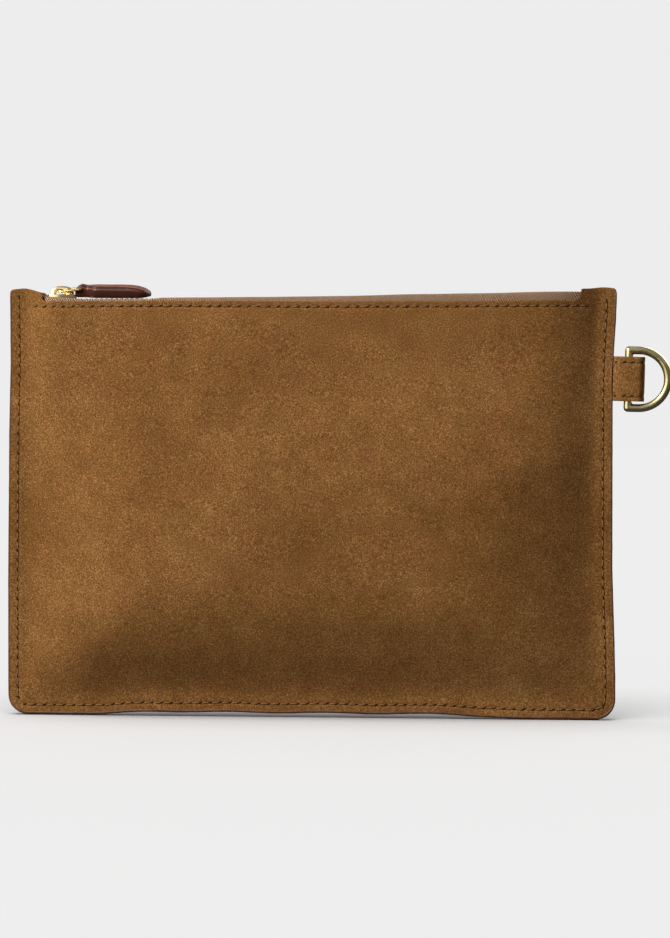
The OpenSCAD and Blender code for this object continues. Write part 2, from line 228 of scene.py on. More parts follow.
class Nodes:
    """Short names for the nodes that a material needs."""

    def __init__(self, material):
        self.tree = material.node_tree
        self.shader = self.tree.nodes["Principled BSDF"]
        self.place = self.tree.nodes.new("ShaderNodeTexCoord").outputs["Object"]

    def link(self, a, b):
        self.tree.links.new(a, b)

    def noise(self, scale, detail=3.0, rough=0.55, stretch=None):
        n = self.tree.nodes.new("ShaderNodeTexNoise")
        n.inputs["Scale"].default_value = scale
        n.inputs["Detail"].default_value = detail
        n.inputs["Roughness"].default_value = rough
        self.link(self.stretched(stretch) if stretch else self.place, n.inputs["Vector"])
        return n.outputs["Fac"]

    def stretched(self, scale, turn=(0, 0, 0)):
        n = self.tree.nodes.new("ShaderNodeMapping")
        n.inputs["Scale"].default_value = scale
        n.inputs["Rotation"].default_value = turn
        self.link(self.place, n.inputs["Vector"])
        return n.outputs["Vector"]

    def wave(self, scale, turn, distortion=0.0):
        n = self.tree.nodes.new("ShaderNodeTexWave")
        n.inputs["Scale"].default_value = scale
        n.inputs["Distortion"].default_value = distortion
        self.link(self.stretched((1, 1, 1), turn), n.inputs["Vector"])
        return n.outputs["Fac"]

    def math(self, kind, a, b):
        n = self.tree.nodes.new("ShaderNodeMath")
        n.operation = kind
        for socket, value in zip(n.inputs, (a, b)):
            if isinstance(value, (int, float)):
                socket.default_value = value
            else:
                self.link(value, socket)
        return n.outputs[0]

    def ramp(self, fac, stops):
        n = self.tree.nodes.new("ShaderNodeValToRGB")
        for _ in range(len(stops) - 2):
            n.color_ramp.elements.new(0.5)
        for element, (at, colour) in zip(n.color_ramp.elements, stops):
            element.position = at
            element.color = (*colour, 1)
        self.link(fac, n.inputs["Fac"])
        return n.outputs["Color"]

    def tinted(self, colour, fac, low, high):
        """The colour multiplied by a tint that drifts between two with fac."""
        tint = self.ramp(fac, [(0.35, low), (0.65, high)])
        n = self.tree.nodes.new("ShaderNodeMix")
        n.data_type = "RGBA"
        n.blend_type = "MULTIPLY"
        n.inputs["Factor"].default_value = 1
        self.link(colour, n.inputs[6])
        self.link(tint, n.inputs[7])
        return n.outputs[2]

    def spread(self, fac, low, high, from_low=0.0, from_high=1.0):
        n = self.tree.nodes.new("ShaderNodeMapRange")
        n.inputs["From Min"].default_value = from_low
        n.inputs["From Max"].default_value = from_high
        n.inputs["To Min"].default_value = low
        n.inputs["To Max"].default_value = high
        self.link(fac, n.inputs["Value"])
        return n.outputs["Result"]

    def bump(self, height, strength, distance):
        n = self.tree.nodes.new("ShaderNodeBump")
        n.inputs["Strength"].default_value = strength
        n.inputs["Distance"].default_value = distance
        self.link(height, n.inputs["Height"])
        return n.outputs["Normal"]

    def colour(self, output):
        self.link(output, self.shader.inputs["Base Color"])

    def rough(self, output):
        self.link(output, self.shader.inputs["Roughness"])

    def normal(self, output):
        self.link(output, self.shader.inputs["Normal"])


def suede_material():
    """Napped suede: large brushed clouds, faint hue patches and a fine grain of light and dark nap tips."""
    m = new_material(
        "suede", (0.17, 0.075, 0.022), 0.95, specular=0.08, sheen=0.1, sheen_tint=(0.6, 0.38, 0.2))
    n = Nodes(m)
    grain = n.noise(1750, 4, 0.72)
    layers = (
        (n.noise(19, 3), 0.18), (n.noise(120, 4, 0.6), 0.09), (grain, 0.66), (n.noise(3000, 2, 0.6), 0.34))
    tone = n.math("MULTIPLY", *layers[0])
    for layer in layers[1:]:
        tone = n.math("ADD", tone, n.math("MULTIPLY", *layer))
    middle = sum(weight for _, weight in layers) / 2
    shade = n.ramp(n.spread(tone, 0.0, 1.0, middle - 0.172, middle + 0.172), [
        (0.00, (0.050, 0.019, 0.004)),
        (0.38, (0.133, 0.056, 0.014)),
        (0.60, (0.200, 0.089, 0.025)),
        (1.00, (0.440, 0.235, 0.088)),
    ])
    n.colour(n.tinted(shade, n.noise(95, 2), (1.02, 0.985, 0.99), (0.985, 1.015, 0.97)))
    n.normal(n.bump(grain, 0.6, 0.0002))
    return m


def lining_material():
    m = new_material("lining", (0.30, 0.22, 0.15), 0.9, specular=0.2)
    n = Nodes(m)
    weave = n.math("MULTIPLY", n.wave(700, (0, 0, 0)), n.wave(700, (0, math.pi / 2, 0)))
    n.colour(n.ramp(weave, [(0.0, (0.22, 0.155, 0.10)), (1.0, (0.36, 0.27, 0.19))]))
    n.normal(n.bump(weave, 0.4, 0.0002))
    return m


def paint_material():
    m = new_material("edge_paint", (0.075, 0.022, 0.016), 0.42, specular=0.45)
    n = Nodes(m)
    streak = n.noise(260, 4, 0.6)
    n.colour(n.ramp(streak, [(0.3, (0.060, 0.020, 0.011)), (0.7, (0.150, 0.058, 0.032))]))
    n.rough(n.spread(streak, 0.34, 0.58))
    n.normal(n.bump(n.noise(900, 3), 0.25, 0.0002))
    return m


def thread_material():
    m = new_material("thread", (0.15, 0.068, 0.021), 0.85, specular=0.15)
    n = Nodes(m)
    twist = n.wave(900, (0.4, 0.6, 0.5))
    n.colour(n.ramp(twist, [(0.0, (0.150, 0.068, 0.020)), (1.0, (0.270, 0.135, 0.046))]))
    n.normal(n.bump(twist, 0.5, 0.0001))
    return m


# Painted shade: the dark lens at each needle hole stands in for the shade inside the hole.
def painted_hole_shade_material():
    m = new_material("needle_hole_painted_shade", (0.022, 0.010, 0.004), 1.0, specular=0.05)
    n = Nodes(m)
    n.colour(n.ramp(n.noise(1500, 2), [(0.3, (0.014, 0.006, 0.002)), (0.7, (0.045, 0.022, 0.009))]))
    return m


def tape_material():
    m = new_material("zip_tape", (0.36, 0.22, 0.15), 0.85, specular=0.2)
    n = Nodes(m)
    slant = math.radians(32)
    weave = n.math("MULTIPLY", n.wave(330, (0, slant, 0), 0.4), n.wave(420, (0, -slant, 0), 0.3))
    tone = n.math("ADD", n.math("MULTIPLY", weave, 0.85), n.math("MULTIPLY", n.noise(900, 2), 0.25))
    n.colour(n.ramp(tone, [
        (0.10, (0.085, 0.040, 0.020)),
        (0.34, (0.300, 0.185, 0.112)),
        (0.78, (0.580, 0.410, 0.275)),
    ]))
    n.normal(n.bump(weave, 0.8, 0.0004))
    return m


def metal_material(name, dark, light, rough_low, rough_high):
    """Metal with patches of tarnish and fine brushing across its length."""
    m = new_material(name, light, (rough_low + rough_high) / 2, metallic=1.0)
    n = Nodes(m)
    tarnish = n.noise(170, 4, 0.6)
    brushed = n.noise(6, 3, 0.6, stretch=(40, 400, 40))
    n.colour(n.ramp(tarnish, [(0.32, dark), (0.62, light)]))
    n.rough(n.spread(brushed, rough_low, rough_high))
    n.normal(n.bump(brushed, 0.08, 0.0001))
    return m


def pull_top_material():
    m = new_material("pull_leather", (0.17, 0.052, 0.032), 0.48, specular=0.3)
    n = Nodes(m)
    cloud = n.noise(140, 3)
    pores = n.noise(1500, 3, 0.6)
    n.colour(n.ramp(cloud, [(0.3, (0.120, 0.034, 0.020)), (0.7, (0.235, 0.080, 0.048))]))
    n.rough(n.spread(pores, 0.36, 0.58))
    n.normal(n.bump(pores, 0.25, 0.00015))
    return m


def pull_edge_material():
    m = new_material("pull_edge_paint", (0.060, 0.017, 0.009), 0.36, specular=0.22)
    n = Nodes(m)
    streak = n.noise(300, 4, 0.6, stretch=(30, 300, 300))
    n.colour(n.ramp(streak, [(0.3, (0.018, 0.005, 0.003)), (0.7, (0.058, 0.017, 0.009))]))
    n.rough(n.spread(streak, 0.28, 0.48))
    return m


SUEDE_M = suede_material()
LINING_M = lining_material()
PAINT_M = paint_material()
THREAD_M = thread_material()
# The needle holes' dark colour is painted shade.
HOLE_SHADE_M = painted_hole_shade_material()
TAPE_M = tape_material()
BRASS_M = metal_material("polished_brass", (0.66, 0.47, 0.19), (0.92, 0.75, 0.42), 0.16, 0.30)
STOP_M = metal_material("stop_metal", (0.50, 0.49, 0.47), (0.78, 0.77, 0.75), 0.25, 0.42)
RING_M = metal_material("antique_brass", (0.52, 0.43, 0.18), (0.85, 0.72, 0.40), 0.20, 0.33)
PULL_TOP_M = pull_top_material()
PULL_EDGE_M = pull_edge_material()


# ------------------------------------------------------------------ the pouch's shape
def low_z(x):
    """The bottom outline, round at both corners."""
    d = np.abs(x) - (HALF_W - CORNER_R)
    return FLOOR_EDGE + np.where(d <= 0, 0, CORNER_R - np.sqrt(np.maximum(0, CORNER_R**2 - d * d)))


def high_z(x):
    """The top outline: ears worn round at their corners, with a tighter notch on the left."""
    notch_r = np.where(x > 0, RIGHT_NOTCH_R, LEFT_NOTCH_R)
    d = np.abs(x) - (HALF_W - EAR_R)
    n = np.abs(x) - (EAR_X - notch_r)
    slope = np.where(x > 0, 0.1, 1.15) * MM * smooth((HALF_W - 5.5 * MM - np.abs(x)) / (8 * MM))
    worn = np.where(x > 0, 0.35, 1.1) * MM * np.clip(1 - (np.abs(x) - EAR_X) / (1.3 * MM), 0, 1) ** 2
    ear = TOP - np.where(d > 0, EAR_R - np.sqrt(np.maximum(0, EAR_R**2 - d * d)), 0) - slope - worn
    notch = ZIP_EDGE + notch_r - np.sqrt(np.maximum(0, notch_r**2 - np.maximum(n, 0) ** 2))
    return np.where(np.abs(x) >= EAR_X, ear, np.minimum(notch, ear))


def soft_start(s, k):
    """Like s, but leaving 0 gently over a share k."""
    return (np.sqrt(np.maximum(s, 0) ** 2 + k * k) - k) / (math.sqrt(1 + k * k) - k)


def swell(z):
    """How far the middle of a panel stands out past its sewn border: most at the belly."""
    below = (BELLY - SEAM) * ease(soft_start((z - SEAM_W) / (BELLY_Z - SEAM_W), 0.16))
    above = mix(BELLY - SEAM, MOUTH - SEAM, smooth((z - BELLY_Z) / (MOUTH_Z - BELLY_Z)))
    return np.where(z < BELLY_Z, below, above)


def outer_face(x, z):
    """How far the suede's outer face is from the middle plane, without stitch lines."""
    upper = mix(BODY_RAMP, TAB_SIDE_RAMP, smooth((z - 80 * MM) / (30 * MM)) * (x > 0))
    body = mix(BASE_RAMP, upper, smooth(z / (62 * MM)))
    mouth = mix(MOUTH_RAMP_LEFT, MOUTH_RAMP_RIGHT, smooth(x / EAR_X * 0.5 + 0.5))
    ramp = mix(body, mouth, smooth((z - MOUTH_Z + 45 * MM) / (45 * MM)))
    rise = ease(soft_start((HALF_W + PAINT - SEAM_W - np.abs(x)) / ramp, 0.12))
    return SEAM + rise * swell(z)


def hollows(x, z, side):
    """Slow hand-like undulations of the suede, nothing at the seams."""
    fade = smooth((HALF_W - 8 * MM - np.abs(x)) / (25 * MM)) * smooth((z - 8 * MM) / (25 * MM))
    fade = fade * smooth((ZIP_EDGE - z) / (25 * MM))
    wave = [noise.noise(Vector((a * 17, b * 21, 3.7 * side))) for a, b in zip(x.ravel(), z.ravel())]
    return np.array(wave).reshape(x.shape) * fade * 1.1 * MM


def seam_line(x, z):
    """Distance inwards from the perimeter stitch line."""
    line_x = HALF_W - STITCH_IN
    line_z = FLOOR_EDGE + STITCH_IN
    r = CORNER_R - STITCH_IN
    cx, cz = HALF_W - CORNER_R, FLOOR_EDGE + CORNER_R
    straight = np.where(z > cz, line_x - np.abs(x), z - line_z)
    corner = (np.abs(x) > cx) & (z < cz)
    return np.where(corner, r - np.hypot(np.abs(x) - cx, z - cz), straight)


def stitch_groove(x, z):
    """How deep the seam and the zip's stitch row pull the suede in."""
    seam = 0.16 * bell(seam_line(x, z) / GROOVE_W)
    zip_row = 0.18 * bell((z - (ZIP_EDGE - ZIP_STITCH)) / GROOVE_W) * (np.abs(x) < EAR_X + 3 * MM)
    return (seam + zip_row) * MM


# How far each side is drawn in over the height, and how far the top sags over the width, all in mm
DRAW_LEFT = ((0, 20, 60, 95, 116, 145, 175), (-1.0, -1.05, -0.95, -0.55, -0.35, 0.35, 0.2))
DRAW_RIGHT = (
    (0, 17, 33, 50, 62, 124, 140, 150, 163, 175),
    (-0.15, -0.15, 0.25, 0.8, 1.15, 1.2, 1.15, 0.7, -0.1, -0.5))
SAG = ((-116, -100, -60, 0, 60, 100, 116), (0, 0.3, 0.1, 0.7, 0.7, 0.5, 0.4))


def settle(x, z):
    """The soft outline: sides drawn in, the zip edge sagging, the bottom lifting between its corners."""
    share = np.abs(x) / HALF_W
    draw = np.where(x > 0, np.interp(z / MM, *DRAW_RIGHT), np.interp(z / MM, *DRAW_LEFT)) * share**3
    lift = 1.4 * smooth((x + 92 * MM) / (32 * MM)) * smooth((88 * MM - x) / (36 * MM))
    lift = (lift + 0.22 * np.sin(x * 155 + 0.6) * (lift > 0.3)) * (1 - smooth(z / (60 * MM)))
    sag = np.interp(x / MM, *SAG) * smooth((z - 110 * MM) / (55 * MM))
    ripple = 0.22 * np.sin(x * 480 + 1.3) * smooth((z - 171 * MM) / (4 * MM))
    return x - np.sign(x) * draw * MM, z + (lift - sag + ripple) * MM


def place(x, depth, z, side):
    """Points of the settled pouch, for arrays of equal shape."""
    sx, sz = settle(x, z)
    return np.stack([sx, side * depth, sz], -1)


def panel_columns(step):
    """Places across the pouch, close together at the corners and the notches."""
    turn = [math.radians(a) for a in range(90, 0, -5)]
    corner = [HALF_W - CORNER_R + CORNER_R * math.sin(a) for a in turn]
    notch = [EAR_X - NOTCH_R + NOTCH_R * math.sin(math.radians(a)) for a in (83, 70, 58, 46, 34, 22, 10)]
    near = [EAR_X + v * MM for v in (0.9, 0.6, 0.3, 0)]
    between = [mix(HALF_W - CORNER_R, EAR_X + 1.3 * MM, k / 8) for k in range(9)] + near
    count = int((EAR_X - NOTCH_R) / step)
    middle = [(k + 0.5) * step for k in range(count - 1, -1, -1)]
    half = corner + between + notch + middle
    return np.array([-v for v in half] + half[::-1])


def panel_rows(step):
    """Shares of the height, close together at the bottom seam and the zip's stitches."""
    height = ZIP_EDGE - FLOOR_EDGE
    fine = 0.45 * MM
    low = [k * fine / height for k in range(int(8 * MM / fine))]
    high = [1 - k * fine / height for k in range(int(5.5 * MM / fine), -1, -1)]
    count = int((high[0] - low[-1]) * height / step)
    return np.array(low + [mix(low[-1], high[0], k / count) for k in range(1, count)] + high)


def shell_piece(name, side, columns, rows, outer, thickness, material):
    """A closed layer of the pouch: outer(x, z) gives its outer face."""
    x = np.repeat(columns[:, None], len(rows), 1)
    z = mix(low_z(x), high_z(x), rows[None, :])
    out = outer(x, z)
    skins = [place(x, out, z, side), place(x, out - thickness, z, side)]
    n, m = x.shape
    verts = np.concatenate([s.reshape(-1, 3) for s in skins])
    faces = []
    for base in (0, n * m):
        for i in range(n - 1):
            for j in range(m - 1):
                a = base + i * m + j
                faces.append((a, a + 1, a + m + 1, a + m))
    rim = [i * m for i in range(n)] + [(n - 1) * m + j for j in range(1, m)]
    rim += [i * m + m - 1 for i in range(n - 2, -1, -1)] + [j for j in range(m - 2, 0, -1)]
    for a, b in zip(rim, rim[1:] + rim[:1]):
        faces.append((a, b, b + n * m, a + n * m))
    return make_piece(name, verts, faces, [material], "pouch")


def build_panel(name, node, side):
    columns, rows = panel_columns(STITCH_PITCH / 3), panel_rows(1.1 * MM)
    piece = shell_piece(
        name, side, columns, rows,
        lambda x, z: outer_face(x, z) + hollows(x, z, side) - stitch_groove(x, z), SUEDE - 0.3 * MM, SUEDE_M)
    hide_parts(node)
    return piece


def build_lining(name, node, side):
    columns = panel_columns(6 * MM)
    rows = np.linspace(0, 0.965, 36)

    def outer(x, z):
        step_in = (TAPE + LAYER_GAP) * smooth((z - MOUTH_Z + 10 * MM) / (10 * MM))
        rise = np.clip((outer_face(x, z) - SEAM) / (2 * MM), 0, 1)
        return outer_face(x, z) + hollows(x, z, side) * 0.8 - SUEDE - LAYER_GAP - step_in * rise

    piece = shell_piece(name, side, columns, rows, outer, LINING, LINING_M)
    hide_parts(node)
    return piece


# ------------------------------------------------------------------ painted edge
def outline(inset, z_top, step):
    """Points down the left side, along the bottom and up the right side, with outward directions."""
    cx, cz = HALF_W - CORNER_R, FLOOR_EDGE + CORNER_R
    r = CORNER_R - inset
    side_n = int((z_top - cz) / step)
    base_n = int(2 * cx / step)
    path = [(-HALF_W + inset, z_top + (cz - z_top) * k / side_n, -1, 0) for k in range(side_n)]
    for k in range(13):
        a = math.pi + k * math.pi / 24
        path.append((-cx + r * math.cos(a), cz + r * math.sin(a), math.cos(a), math.sin(a)))
    path += [(-cx + 2 * cx * k / base_n, cz - r, 0, -1) for k in range(1, base_n)]
    for k in range(13):
        a = 1.5 * math.pi + k * math.pi / 24
        path.append((cx + r * math.cos(a), cz + r * math.sin(a), math.cos(a), math.sin(a)))
    path += [(HALF_W - inset, cz + (z_top - cz) * k / side_n, 1, 0) for k in range(1, side_n + 1)]
    return path


def build_edge_paint():
    """A domed bead of edge paint that laps a little onto both faces, wider along the bottom."""
    rings = []
    for i, (x, z, nx, nz) in enumerate(outline(0, TOP - EAR_R, 1.6 * MM)):
        lap = mix(0.45, 0.95, smooth(-nz)) + 0.12 * noise.noise(Vector((i * 0.21, 0, 0)))
        proud = 0.06 * noise.noise(Vector((i * 0.37, 5, 0)))
        half = SEAM / MM
        profile = [(-lap, half - 0.1), (-lap * 0.8, half + 0.07), (-lap * 0.35, half + 0.09)]
        profile += [(0.06, half - 0.15), (0.24 + proud, half - 0.75), (0.3 + proud, 0)]
        loop = profile + [(o, -y) for o, y in reversed(profile[:-1])]
        loop += [(-1.3, -half + 0.5), (-1.3, half - 0.5)]
        ring = []
        for o, y in loop:
            px, pz = settle(np.array(x + nx * o * MM), np.array(z + nz * o * MM))
            ring.append((float(px), y * MM, max(float(pz), 0.0)))
        rings.append(ring)
    piece = make_piece("painted_edge", *loft(rings), [PAINT_M], "pouch")
    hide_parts("edge_paint")


# ------------------------------------------------------------------ stitches
def stitch_skin(at, along, out, length):
    """A short twisted thread that arches from hole to hole."""
    path = []
    for k in range(7):
        s = k / 6
        arch = math.sin(math.pi * s)
        path.append(at + along * ((s - 0.5) * length) + out * ((0.30 * arch - 0.16) * MM))
    radii = [THREAD_R * w for w in (0.55, 0.85, 1.0, 1.08, 1.0, 0.85, 0.55)]
    return loft(tube(path, radii, 6, up=out))


def hole_shade_skin(at, along, out, length=2.25 * MM, width=0.74 * MM):
    """A slanted needle hole: a thin dark lens of painted shade sunk into the suede, standing in for the
    shade inside the hole.
    """
    across = out.cross(along).normalized()
    turn = math.radians(16 + random.uniform(-6, 6))
    a = along * math.cos(turn) + across * math.sin(turn)
    b = across * math.cos(turn) - along * math.sin(turn)
    size = random.uniform(0.85, 1.1)
    rings = []
    for level, share in ((-0.12, 0.6), (0.08, 1.0), (0.15, 0.7)):
        ring = []
        for k in range(10):
            t = 2 * math.pi * k / 10
            run = a * (math.cos(t) * length * size / 2 * share)
            ring.append(at + run + b * (math.sin(t) * width * size / 2 * share) + out * (level * MM))
        rings.append(ring)
    return loft(rings)


def surface_point(x, z, side):
    """A point on the settled outer face, with its groove, and its outward normal."""
    def at(a, b):
        x1, z1 = np.array([a]), np.array([b])
        out = outer_face(x1, z1) + hollows(x1, z1, side) - stitch_groove(x1, z1)
        return Vector(place(x1, out, z1, side)[0])

    h = 0.4 * MM
    p = at(x, z)
    du, dv = at(x + h, z) - at(x - h, z), at(x, z + h) - at(x, z - h)
    normal = du.cross(dv).normalized()
    return p, (normal if normal.y * side > 0 else -normal)


def seam_path():
    """Hole places on the perimeter line, in order, from the left ear round to the right ear."""
    places = [(x, z) for x, z, _, _ in outline(STITCH_IN, TOP - 3.5 * MM, 0.2 * MM)]
    found, run = [places[0]], 0.0
    for a, b in zip(places, places[1:]):
        run += math.hypot(b[0] - a[0], b[1] - a[1])
        if run >= STITCH_PITCH:
            found.append(b)
            run = 0.0
    return found


def zip_path():
    reach = EAR_X + 2.8 * MM
    count = round(2 * reach / STITCH_PITCH)
    return [(-reach + 2 * reach * k / count, ZIP_EDGE - ZIP_STITCH) for k in range(count + 1)]


def build_stitching(name, nodes, side, path):
    """A thread between each two needle holes of a path, on one face of the pouch, with a lens of painted
    shade in each hole.
    """
    parts = Parts()
    points = [surface_point(x, z, side) for x, z in path]
    for (p, out), (q, _) in zip(points, points[1:]):
        along = (q - p).normalized()
        parts.add(stitch_skin((p + q) / 2, along, out, (q - p).length - HOLE_GAP), 0)
    for i, (p, out) in enumerate(points):
        q = points[i + 1][0] if i + 1 < len(points) else p * 2 - points[i - 1][0]
        parts.add(hole_shade_skin(p, (q - p).normalized(), out), 1)
    piece = make_piece(
        name, parts.verts, parts.faces, [THREAD_M, HOLE_SHADE_M], "pouch", material_index=parts.index)
    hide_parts(*nodes)


# ------------------------------------------------------------------ zip
def ridge_z(x):
    """How high the tape's fold stands: low beside the pull, rising towards the D-ring side."""
    stations = [-114, -109, -104, -97, -91, -66, -60, -15, 16, 36, 67, 98, 110, 118]
    heights = [1.9, 1.8, 1.35, 0.9, 0.35, 0.3, 0.95, 1.1, 1.4, 1.9, 2.3, 2.9, 3.1, 2.4]
    return ZIP_EDGE + float(np.interp(x / MM, stations, heights)) * MM


def build_tape(name, node, side):
    """A woven tape: flat at the teeth, folded up into a ridge, then down behind the panel."""
    rings = []
    count = 160
    edge_y, full = 1.95, 6.2
    end_x = tape_high.x - 0.3 * MM
    for i in range(count + 1):
        x = -end_x + 2 * end_x * i / count
        top = ridge_z(x) / MM + 0.12 * noise.noise(Vector((x * 60, side, 0)))
        low = CHAIN_Z / MM
        room = (float(outer_face(np.array(x), np.array(ZIP_EDGE))) - SUEDE) / MM - 0.1
        leg = min(full, room - 0.3)
        k = (leg - edge_y) / (full - edge_y)
        foot = mix(ZIP_EDGE / MM - 10.5, ZIP_EDGE / MM - 2, smooth((abs(x) - EAR_X + NOTCH_R) / NOTCH_R))
        line = [(edge_y, low), (3.4, low), (4.9, low + 0.15), (5.3, mix(low, top, 0.45))]
        line += [(5.55, mix(low, top, 0.8)), (5.82, top - 0.12), (6.05, top - 0.3), (6.18, top - 0.75)]
        line += [(full, top - 2.2), (full, foot)]
        line = [(edge_y + (y - edge_y) * k, z) for y, z in line]
        ring = []
        for edge in (0.3, -0.3):
            points = []
            for j, (y, z) in enumerate(line):
                a, b = line[max(j - 1, 0)], line[min(j + 1, len(line) - 1)]
                d = math.hypot(b[0] - a[0], b[1] - a[1])
                ny, nz = -(b[1] - a[1]) / d, (b[0] - a[0]) / d
                points.append((x, side * (y + ny * edge) * MM, (z + nz * edge) * MM))
            ring += points if edge > 0 else points[::-1]
        rings.append(ring)
    piece = make_piece(name, *loft(rings), [TAPE_M], "pouch")
    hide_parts(node)


def tooth_skin(x, side, thick):
    """One tooth: a rounded head past the middle, a waist, and two jaws on the tape."""
    jaw = [(-2.75, 0.30), (-2.75, 0.95), (-2.45, 1.18), (-1.2, 1.2)]
    jaw += [(-0.5, 0.98), (0.1, 1.05), (0.55, 0.95), (0.84, 0.55)]
    profile = jaw + [(0.9, 0.0)] + [(y, -z) for y, z in reversed(jaw)] + [(-2.1, -0.28), (-2.1, 0.28)]
    rings = []
    for dx, share in ((-0.5, 0.86), (-0.34, 1.0), (0.34, 1.0), (0.5, 0.86)):
        ring = []
        for y, z in profile:
            taper = 0.8 if y > 0.3 else 1.0
            cy, cz = -1.0 + (y + 1.0) * share, 0.9 * z * share
            ring.append((x + dx * thick * taper, -side * cy * MM, CHAIN_Z + cz * MM))
        rings.append(ring)
    return loft(rings)


def build_teeth(name, node, side):
    """The row of teeth on one tape, each where the CAD has it."""
    low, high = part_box(node)
    thick = TOOTH_PITCH / 2 - 0.1 * MM
    count = round((high.x - low.x - thick) / TOOTH_PITCH) + 1
    parts = Parts()
    for i in range(count):
        parts.add(tooth_skin(low.x + thick / 2 + i * TOOTH_PITCH, side, thick))
    piece = make_piece(name, parts.verts, parts.faces, [BRASS_M], "pouch", shade=False)
    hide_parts(node)


def bevelled_copy(name, node, material, body, width):
    """The CAD piece with its edges rounded, as a casting or stamping has them."""
    mesh = frame["nodes"][node].data.copy()
    mesh.name = name
    mesh.materials.clear()
    mesh.materials.append(material)
    bm = bmesh.new()
    bm.from_mesh(mesh)
    bmesh.ops.remove_doubles(bm, verts=bm.verts, dist=0.004 * MM)
    bmesh.ops.dissolve_limit(bm, angle_limit=math.radians(2), verts=bm.verts, edges=bm.edges)
    sharp = [e for e in bm.edges if e.is_manifold and e.calc_face_angle(0) > math.radians(35)]
    bmesh.ops.bevel(
        bm, geom=sharp, offset=width, segments=2, profile=0.6, affect="EDGES", clamp_overlap=True)
    bmesh.ops.recalc_face_normals(bm, faces=bm.faces)
    bm.to_mesh(mesh)
    bm.free()
    if "custom_normal" in mesh.attributes:
        mesh.attributes.remove(mesh.attributes["custom_normal"])
    piece = bpy.data.objects.new(name, mesh)
    bpy.context.scene.collection.objects.link(piece)
    mesh.polygons.foreach_set("use_smooth", [True] * len(mesh.polygons))
    mesh.set_sharp_from_angle(angle=math.radians(40))
    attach(piece, body)
    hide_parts(node)
    return piece


def build_crown():
    """A stout arch over the slider, with an eye for the link's bar and feet wider than its top."""
    low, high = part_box("slider_crown")
    middle, half_l, height = (low.x + high.x) / 2, (high.x - low.x) / 2, high.z - low.z
    eye = (link_at.x, 2.05 * MM, height - 1.3 * MM)
    rings = []
    for k in range(33):
        a = math.pi * k / 32
        c, s = math.cos(a), math.sin(a)
        outer = (middle + half_l * math.copysign(abs(c) ** 0.8, c), low.z + height * s**0.75)
        inner = (eye[0] + eye[1] * c, low.z + eye[2] * s)
        half_y = mix(1.75, 1.3, s) * MM
        ring = []
        for share, across in ((0, -0.7), (0.15, -1), (0.8, -1), (0.95, -0.85), (1, -0.55),
                              (1, 0.55), (0.95, 0.85), (0.8, 1), (0.15, 1), (0, 0.7)):
            ring.append((mix(inner[0], outer[0], share), across * half_y, mix(inner[1], outer[1], share)))
        rings.append(ring)
    piece = make_piece("slider_arch", *loft(rings), [BRASS_M], "slider")
    piece.data.set_sharp_from_angle(angle=math.radians(50))
    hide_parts("slider_crown")


def build_link():
    """A closed loop of round wire, rolled towards the front like its joint."""
    span = pull_at - link_at
    length = span.length
    ahead = span.normalized()
    half, bend = 2.4 * MM, 0.85 * MM
    corners = [(0, -half), (length, -half), (length, half), (0, half)]
    path = []
    for i, (u, v) in enumerate(corners):
        pu, pv = corners[i - 1]
        nu, nv = corners[(i + 1) % 4]
        a = Vector((pu - u, pv - v, 0)).normalized() * bend
        b = Vector((nu - u, nv - v, 0)).normalized() * bend
        centre = Vector((u, v, 0)) + a + b
        for k in range(7):
            t = k / 6 * math.pi / 2
            path.append(centre - b * math.cos(t) - a * math.sin(t))
    points = [link_at + ahead * p.x + roll_axis * p.y for p in path]
    normal = ahead.cross(roll_axis).normalized()
    wire = loft(tube(points, 0.55 * MM, 12, closed=True, up=normal), closed=True)
    piece = make_piece("link_wire", *wire, [BRASS_M], "link")
    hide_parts("pull_link")


def remeshed(name, source_mesh, voxel, rounds, materials):
    """A voxel skin over a mesh, relaxed so that its edges soften."""
    piece = bpy.data.objects.new(name, source_mesh)
    bpy.context.scene.collection.objects.link(piece)
    remesh = piece.modifiers.new("remesh", "REMESH")
    remesh.mode = "VOXEL"
    remesh.voxel_size = voxel
    relax = piece.modifiers.new("relax", "SMOOTH")
    relax.factor = 0.5
    relax.iterations = rounds
    bpy.context.view_layer.update()
    evaluated = piece.evaluated_get(bpy.context.evaluated_depsgraph_get())
    mesh = bpy.data.meshes.new_from_object(evaluated)
    mesh.name = name
    piece.modifiers.clear()
    piece.data = mesh
    mesh.materials.clear()
    for m in materials:
        mesh.materials.append(m)
    mesh.polygons.foreach_set("use_smooth", [True] * len(mesh.polygons))
    return piece


# The pull's upper and lower outline from the side, and the radius of its tip, in mm from its hinge
PULL_TOP = (
    (-2.4, -2.1, -1.2, 0.2, 2.5, 10, 17, 20, 23, 26, 28.8),
    (-1.1, -0.1, 1.1, 1.85, 1.5, 1.8, 2.15, 2.2, 1.95, 1.3, 0.1))
PULL_LOW = ((-2.4, -2.1, -1.2, 25, 28.8), (-2.7, -3.4, -3.65, -2.0, -1.35))
PULL_TIP_R = 4.9


def pull_half(u):
    """Half the pull's width in mm: narrow at the fold, then a long leaf with a round tip."""
    tip = PULL_TOP[0][-1] - PULL_TIP_R
    if u > tip:
        return math.sqrt(max(0.0, PULL_TIP_R**2 - (u - tip) ** 2))
    return mix(1.72, mix(4.1, PULL_TIP_R, min(1, max(0, (u - 6) / 14))), float(smooth((u - 2.0) / 4.5)))


